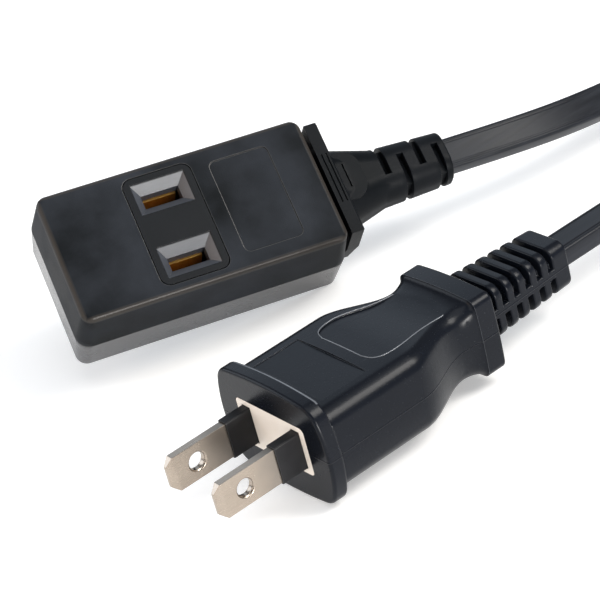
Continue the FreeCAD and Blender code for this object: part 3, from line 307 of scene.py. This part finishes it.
def spark_grain(name, dark, light, gloss, shine, relief):
    """Socket resin with the fine grain of a spark-eroded mould, and a painted warm highlight in brown along the hood's
    upper edges, which also carry a glossier coat.
    """
    finish = Finish(name)
    grain = finish.noise(0.22, 3)
    across = finish.height_over(SOCKET_PLACE, SOCKET_ACROSS)
    along = finish.height_over(SOCKET_PLACE, SOCKET_ALONG) - HOOD_LENGTH / 2
    up = finish.height_over(SOCKET_PLACE, INSERT_WAY)
    past_sides = abs(across) - HOOD_FLAT_WIDTH / 2
    past_ends = abs(along) - HOOD_FLAT_LENGTH / 2
    border = finish.ramp(past_sides.or_more(past_ends) * PER_MM, (0.05, 0), (0.5, 1))
    edge = border * finish.ramp((up - HOOD_ROUNDING) * PER_MM, (0, 0), (0.5, 1))
    cloud = finish.ramp(finish.noise(15, 5), (0.32, 0), (0.68, 1))
    rubbed_and_highlit = finish.ramp(finish.noise(5, 4, finish.stretched((1, 2.5, 1))), (0.48, 0), (0.72, 1))
    tone = finish.blend(cloud, dark, light)
    # Brown on the hood's upper edges is a painted warm highlight; the lighter patches are random wear
    worn_and_edge_highlit = finish.blend(edge * 0.7, finish.blend(rubbed_and_highlit * 0.35, tone, light), (0.034, 0.028, 0.023, 1))
    return finish.paint(Base_Color=worn_and_edge_highlit, Specular_IOR_Level=shine, Roughness=gloss + cloud * 0.1 + rubbed_and_highlit * 0.08,
                        Coat_Weight=edge * 0.4, Coat_Roughness=0.34, Normal=finish.bump(grain, relief))


def slot_resin():
    """Smooth black resin of the slot block, with glossy funnels whose paler tone is partly wear from the blades and
    partly a painted highlight.
    """
    finish = Finish("slot_resin")
    cloud = finish.noise(6, 3)
    scuff = finish.noise(0.5, 3, finish.stretched((1, 4, 1)))
    sunk = finish.ramp(finish.height_over(INSERT_FACE, INSERT_WAY) * -PER_MM, (0.1, 0), (0.25, 1))
    face = finish.blend(cloud, (0.003, 0.004, 0.005, 1), (0.006, 0.007, 0.009, 1))
    # Paler tone of the funnels: partly wear from the blades, partly a painted highlight on their slopes
    funnel = finish.blend(scuff, (0.03, 0.034, 0.043, 1), (0.05, 0.056, 0.07, 1))
    return finish.paint(Base_Color=finish.blend(sunk, face, funnel), Specular_IOR_Level=0.1,
                        Roughness=0.3 + cloud * 0.12, Coat_Weight=sunk, Coat_Roughness=0.38, Coat_IOR=1.8,
                        Normal=finish.bump(scuff, 0.008))


def contact_brass():
    """Bright brass of the contact clips, a little tarnished."""
    finish = Finish("contact_brass")
    cloud = finish.noise(1.5, 3)
    lines = finish.noise(0.3, 2, finish.stretched((1, 1, 20)))
    tone = finish.blend(cloud, (0.74, 0.4, 0.1, 1), (0.96, 0.62, 0.2, 1))
    return finish.paint(Base_Color=tone, Metallic=1.0, Roughness=0.4 + lines * 0.15)


def bare_copper():
    """Bare copper strands."""
    finish = Finish("bare_copper")
    strands = finish.noise(0.25, 2, finish.stretched((1, 30, 1)))
    tone = finish.blend(strands, (0.5, 0.2, 0.1, 1), (0.85, 0.42, 0.26, 1))
    return finish.paint(Base_Color=tone, Metallic=1.0, Roughness=0.3 + strands * 0.1,
                        Normal=finish.bump(strands, 0.05))


def core_vinyl():
    """Soft grey insulation of the cores."""
    finish = Finish("core_vinyl")
    cloud = finish.noise(2, 2)
    tone = finish.blend(cloud, (0.42, 0.42, 0.4, 1), (0.55, 0.55, 0.52, 1))
    return finish.paint(Base_Color=tone, Roughness=0.45 + cloud * 0.1)


def cord_vinyl():
    """Satin vinyl jacket with drawing lines along it and a blue cast."""
    finish = Finish("cord_vinyl")
    cloud = finish.noise(6, 3)
    drawn = finish.noise(1.1, 2, finish.stretched((1, 60, 1)))
    tone = finish.blend(drawn, (0.005, 0.0056, 0.0072, 1), (0.022, 0.0245, 0.031, 1))
    return finish.paint(Base_Color=tone, Specular_IOR_Level=0.14, Roughness=0.2 + cloud * 0.08 + drawn * 0.16,
                        Normal=finish.bump(drawn, 0.02))


def tie_strip():
    """Matte black strip of the tie."""
    finish = Finish("tie_strip")
    ribs = finish.noise(0.5, 1, finish.stretched((1, 1, 8)))
    tone = finish.blend(ribs, (0.012, 0.012, 0.012, 1), (0.03, 0.03, 0.03, 1))
    return finish.paint(Base_Color=tone, Roughness=0.5 + ribs * 0.15, Normal=finish.bump(ribs, 0.05))


def studio_floor():
    """Pale floor with a barely uneven tone."""
    finish = Finish("studio_floor")
    cloud = finish.noise(220, 2)
    tone = finish.blend(cloud, (0.84, 0.84, 0.84, 1), (0.88, 0.88, 0.88, 1))
    return finish.paint(Base_Color=tone, Roughness=0.6 + cloud * 0.1, Emission_Color=tone, Emission_Strength=0.4)


def deselect():
    bpy.ops.object.select_all(action="DESELECT")


def wear(piece, *materials):
    piece.data.materials.clear()
    for material in materials:
        piece.data.materials.append(material)


def take_up(name, data):
    """New object in the scene, the only one selected."""
    deselect()
    piece = bpy.data.objects.new(name, data)
    bpy.context.collection.objects.link(piece)
    bpy.context.view_layer.objects.active = piece
    piece.select_set(True)
    return piece


def edit_mesh(action):
    """Edit mode of the active piece, with all of it selected or none."""
    bpy.ops.object.mode_set(mode="EDIT")
    bpy.ops.mesh.select_all(action=action)


def leave_mesh():
    bpy.ops.object.mode_set(mode="OBJECT")


def within(spot, box):
    low, high = box
    return all(low[axis] * MM < spot[axis] < high[axis] * MM for axis in range(3))


def sharp_outside(edge):
    return edge.is_convex and edge.calc_face_angle(0) > SHARP


def round_ribs(piece, box, radius):
    """Rounds a piece's sharp outer edges that lie in a box, by a radius in millimetres."""
    edit_mesh("DESELECT")
    bpy.ops.mesh.select_mode(type="EDGE")
    skin = bmesh.from_edit_mesh(piece.data)
    for edge in skin.edges:
        if all(within(corner.co, box) for corner in edge.verts) and sharp_outside(edge):
            edge.select_set(True)
    bmesh.update_edit_mesh(piece.data)
    bpy.ops.mesh.bevel(offset=radius * MM, segments=3, material=0, clamp_overlap=True)
    leave_mesh()


def skin_of(node, name, material, edge, rim, rubbed_and_highlit=(), polish_and_highlight=None, ribs=None):
    """Piece with a CAD node's own faces in one skin, with its sharp edges eased, that stands for the node.

    The eased edges take the rim's finish, and faces in the given boxes take the polish finish, a pale tone that paints
    a highlight line. Sizes are in millimetres."""
    piece = take_up(name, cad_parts[node].data.copy())
    edit_mesh("SELECT")
    bpy.ops.mesh.remove_doubles(threshold=ONE_POINT)
    bpy.ops.mesh.dissolve_limited(angle_limit=FLAT)
    leave_mesh()
    wear(piece, material, rim, polish_and_highlight or rim)
    if ribs:
        round_ribs(piece, *ribs)
    soften = piece.modifiers.new("eased_edges", "BEVEL")
    soften.width = edge * MM
    soften.segments = 2
    soften.limit_method = "ANGLE"
    soften.angle_limit = EASED_ABOVE
    soften.material = RIM_SLOT
    bpy.ops.object.modifier_apply(modifier=soften.name)
    edit_mesh("SELECT")
    bpy.ops.mesh.dissolve_degenerate(threshold=NO_SIZE)
    leave_mesh()
    bpy.ops.object.shade_smooth_by_angle(angle=SMOOTH_BELOW)
    flatten = piece.modifiers.new("flat_faces", "WEIGHTED_NORMAL")
    flatten.keep_sharp = True
    bpy.ops.object.modifier_apply(modifier=flatten.name)
    for face in piece.data.polygons:
        if any(within(face.center, box) for box in rubbed_and_highlit):
            face.material_index = POLISH_AND_HIGHLIGHT_SLOT
    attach(piece, BODY)
    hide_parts(node)


def rim_bead(name, node, box, radius, material):
    """Fine raised bead, of a radius in millimetres, along the sharp outer edges of a node that lie in a box."""
    skin = bmesh.new()
    skin.from_mesh(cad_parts[node].data)
    bmesh.ops.remove_doubles(skin, verts=skin.verts, dist=ONE_POINT)
    bmesh.ops.dissolve_limit(skin, angle_limit=FLAT, verts=skin.verts, edges=skin.edges)
    spare = []
    for edge in skin.edges:
        middle = (edge.verts[0].co + edge.verts[1].co) / 2
        if not (within(middle, box) and sharp_outside(edge)):
            spare.append(edge)
    bmesh.ops.delete(skin, geom=spare, context="EDGES")
    line = bpy.data.meshes.new(name)
    skin.to_mesh(line)
    skin.free()
    take_up(name, line)
    bpy.ops.object.convert(target="CURVE")
    bead = bpy.context.active_object
    bead.data.bevel_depth = radius * MM
    bead.data.bevel_resolution = 2
    bead.data.use_fill_caps = True
    bpy.ops.object.convert(target="MESH")
    bead = bpy.context.active_object
    bpy.ops.object.shade_smooth()
    wear(bead, material)
    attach(bead, BODY)


def cord_section():
    """Closed outline of the flat cord, run so that the cord's faces point outwards."""
    line = bpy.data.curves.new("cord_section", "CURVE")
    line.dimensions = "2D"
    spline = line.splines.new("POLY")
    flat_x = CORD_WIDTH / 2 - CORD_CORNER
    flat_y = CORD_THICKNESS / 2 - CORD_CORNER
    corners = ((flat_x, flat_y, 0), (-flat_x, flat_y, 90), (-flat_x, -flat_y, 180), (flat_x, -flat_y, 270))
    spots = []
    for x, y, start in corners:
        for step in range(CORNER_STEPS + 1):
            angle = math.radians(start + step * 90 / CORNER_STEPS)
            spots.append((x + CORD_CORNER * math.cos(angle), y + CORD_CORNER * math.sin(angle), 0, 1))
        if x * y > 0:            # a flat side follows this corner
            side = math.copysign(1, x)
            for place in (GROOVE_PLACE, -GROOVE_PLACE):
                for step in GROOVE_STEPS:
                    depth = CORD_THICKNESS / 2 - (0 if step else GROOVE_DEPTH)
                    spots.append((side * (place + step), side * depth, 0, 1))
    spline.points.add(len(spots) - 1)
    for point, spot in zip(spline.points, reversed(spots)):
        point.co = spot
    spline.use_cyclic_u = True
    outline = bpy.data.objects.new("cord_section", line)
    bpy.context.collection.objects.link(outline)
    outline.hide_render = True
    outline.hide_viewport = True
    return outline


def ease(share):
    """Smooth step from 0 to 1."""
    share = min(max(share, 0), 1)
    return share * share * (3 - 2 * share)


def coil_points():
    """Turns of the coil: round the outside below, the inside below, the inside above and the outside above."""
    step = FULL_TURN / COIL_STEPS
    spots = []
    for index in range(int(COIL_ANGLE / step) + 1):
        angle = index * step
        inward = ease((angle - FULL_TURN) / COIL_SHIFT + 0.5) - ease((angle - 3 * FULL_TURN) / COIL_SHIFT + 0.5)
        upward = ease((angle - 2 * FULL_TURN) / COIL_SHIFT + 0.5)
        radius = COIL_RADII[0] + (COIL_RADII[1] - COIL_RADII[0]) * inward
        from_tie = abs((angle - TIE_ANGLE + HALF_TURN) % FULL_TURN - HALF_TURN)
        sink = COIL_SINK * ease(from_tie / TIE_REACH)
        height = COIL_LAYERS[0] + (COIL_LAYERS[1] - COIL_LAYERS[0]) * upward - sink
        reach = radius / math.cos(math.radians(step / 2))
        way = math.radians(angle)
        spots.append(COIL_MIDDLE + Vector((reach * math.cos(way), reach * math.sin(way), height)))
    return spots


def socket_spot(along, across, up):
    """Point of the socket's own frame in the shared frame."""
    turn = Quaternion((0, 0, 1), SOCKET_TURN) @ Quaternion((0, 1, 0), SOCKET_TILT)
    return SOCKET_PLACE + turn @ Quaternion((1, 0, 0), SOCKET_LEAN) @ Vector((along, across, up))


def flat_cord(material):
    """The whole cord on one smooth line from the plug through the coil to the socket."""
    socket_exit = socket_spot(SLEEVE_END, 0, SOCKET_AXIS_HEIGHT)
    socket_straight = socket_spot(SLEEVE_END + CORD_LEAD, 0, SOCKET_AXIS_HEIGHT)
    socket_inside = socket_spot(SLEEVE_END - INSIDE, 0, SOCKET_AXIS_HEIGHT)
    before = [PLUG_EXIT - Vector((0, INSIDE, 0)), PLUG_EXIT] + PLUG_ROUTE
    coil = coil_points()
    after = SOCKET_ROUTE[::-1] + [socket_straight, socket_exit, socket_inside]
    tilts = [0] * (len(before) - len(PLUG_TWIST)) + [ON_EDGE * share for share in PLUG_TWIST]
    tilts += [ON_EDGE] * len(coil)
    shares = [ease((step + 1) / len(SOCKET_ROUTE)) for step in range(len(SOCKET_ROUTE))]
    tilts += [ON_EDGE + (-SOCKET_LEAN - ON_EDGE) * share for share in shares]
    tilts += [-SOCKET_LEAN] * (len(after) - len(SOCKET_ROUTE))
    line = bpy.data.curves.new("flat_cord", "CURVE")
    line.dimensions = "3D"
    line.twist_mode = "Z_UP"
    line.bevel_mode = "OBJECT"
    line.bevel_object = cord_section()
    line.use_fill_caps = True
    spline = line.splines.new("NURBS")
    spots = before + coil + after
    spline.points.add(len(spots) - 1)
    for point, spot, tilt in zip(spline.points, spots, tilts):
        point.co = (*spot, 1)
        point.tilt = tilt
    spline.order_u = 3
    spline.use_endpoint_u = True
    spline.resolution_u = CORD_FINENESS
    spline.use_smooth = True
    cord = bpy.data.objects.new("flat_cord", line)
    bpy.context.collection.objects.link(cord)
    wear(cord, material)
    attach(cord, BODY)
    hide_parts("cord_plug_run", "cord_socket_run", "cord_coil")
    return cord


def light(name, place, size, power, colour):
    """Soft rectangular lamp that faces the plug and the socket."""
    lamp = bpy.data.lights.new(name, "AREA")
    lamp.shape = "RECTANGLE"
    lamp.size, lamp.size_y = size
    lamp.energy = power
    lamp.color = colour
    lantern = bpy.data.objects.new(name, lamp)
    bpy.context.collection.objects.link(lantern)
    lantern.location = place
    lantern.rotation_euler = (LAMP_AIM - Vector(place)).to_track_quat("-Z", "Y").to_euler()


def studio():
    """Pale floor, even light from all round and soft lamps."""
    deselect()
    bpy.ops.mesh.primitive_plane_add(size=FLOOR_SIZE)
    floor = bpy.context.active_object
    floor.name = "studio_floor"
    wear(floor, studio_floor())
    world = bpy.data.worlds.new("studio_air")
    bpy.context.scene.world = world
    world.use_nodes = True
    air = world.node_tree.nodes["Background"]
    air.inputs["Color"].default_value = AIR_COLOUR
    air.inputs["Strength"].default_value = AIR_STRENGTH
    for name, (place, size, power, colour) in LAMPS.items():
        light(name, place, size, power, colour)
    bpy.context.scene.view_settings.view_transform = "Standard"


def camera():
    """Camera at the photograph's angle."""
    lens = bpy.data.cameras.new("camera")
    lens.lens = LENS
    lens.sensor_width = SENSOR
    lens.clip_start = NEAREST
    eye = bpy.data.objects.new("camera", lens)
    bpy.context.collection.objects.link(eye)
    eye.location = EYE
    eye.rotation_mode = "QUATERNION"
    eye.rotation_quaternion = (AIM - EYE).to_track_quat("-Z", "Y") @ Quaternion((0, 0, 1), ROLL)
    bpy.context.scene.camera = eye


camera()
studio()

# Finishes
vinyl = plug_vinyl()
nickel = nickel_plate()
sleeve = sleeve_resin()
brass = contact_brass()
copper = bare_copper()
core = core_vinyl()
bridge = bridge_resin()
tie = tie_strip()
top_resin = spark_grain("top_resin", (0.003, 0.004, 0.005, 1), (0.022, 0.025, 0.031, 1), 0.42, 0.05, 0.02)
bottom_resin = spark_grain("bottom_resin", (0.014, 0.014, 0.0155, 1), (0.05, 0.05, 0.054, 1), 0.2, 0.72, 0.05)
gland_vinyl = spark_grain("gland_vinyl", (0.002, 0.003, 0.004, 1), (0.006, 0.007, 0.009, 1), 0.36, 0.07, 0.02)
# The paler tones of the vinyl and sleeve edges paint highlights along the eased edges; their gloss and nicks are the
# edges' own wear
vinyl_edge_highlight = edge_wear_and_highlight("vinyl_edge_highlight", (0.045, 0.049, 0.057, 1), 0.16, 0.5)
resin_edge = edge_wear_and_highlight("resin_edge", (0.014, 0.014, 0.0145, 1), 0.26, 0.4)
sleeve_edge_highlight = edge_wear_and_highlight("sleeve_edge_highlight", (0.03, 0.03, 0.032, 1), 0.24, 0.5)
# The pale bead finish paints the bright highlight lines round the thumb recesses and along the flange rims
bead_highlight_vinyl = edge_wear_and_highlight("bead_highlight_vinyl", (0.08, 0.086, 0.098, 1), 0.16, 0.6)

# Plug
skin_of("plug_body", "plug_moulding", vinyl, 0.15, vinyl_edge_highlight, FLANGE_HIGHLIGHT_RIMS, bead_highlight_vinyl, (RELIEF_RIBS, RELIEF_ROUNDING))
# The beads round the thumb recesses wear the pale finish that paints a highlight line
for place, recess in THUMB_RECESSES.items():
    rim_bead("thumb_bead_" + place, "plug_body", recess, BEAD_RADIUS, bead_highlight_vinyl)
skin_of("plug_bridge", "bridge_plate", bridge, 0.1, bridge)
for side in ("left", "right"):
    skin_of("blade_" + side, "plated_blade_" + side, nickel, 0.08, nickel)
    skin_of("blade_sleeve_" + side, "root_sleeve_" + side, sleeve, 0.08, sleeve_edge_highlight)
    skin_of("socket_contact_" + side, "brass_clip_" + side, brass, 0.06, brass)
    for end in ("plug", "socket"):
        wear(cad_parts["%s_conductor_%s" % (end, side)], copper)
        wear(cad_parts["%s_core_%s" % (end, side)], core)

# Socket and cord
skin_of("socket_top_shell", "socket_hood", top_resin, 0.1, resin_edge)
skin_of("socket_bottom_shell", "socket_tray", bottom_resin, 0.1, bottom_resin)
skin_of("socket_insert", "slot_block", slot_resin(), 0.08, resin_edge)
skin_of("socket_gland", "cord_gland", gland_vinyl, 0.12, resin_edge, ribs=(SLEEVE_RIBS, SLEEVE_ROUNDING))
skin_of("cord_tie", "coil_tie", tie, 0.1, tie)
cord = flat_cord(cord_vinyl())
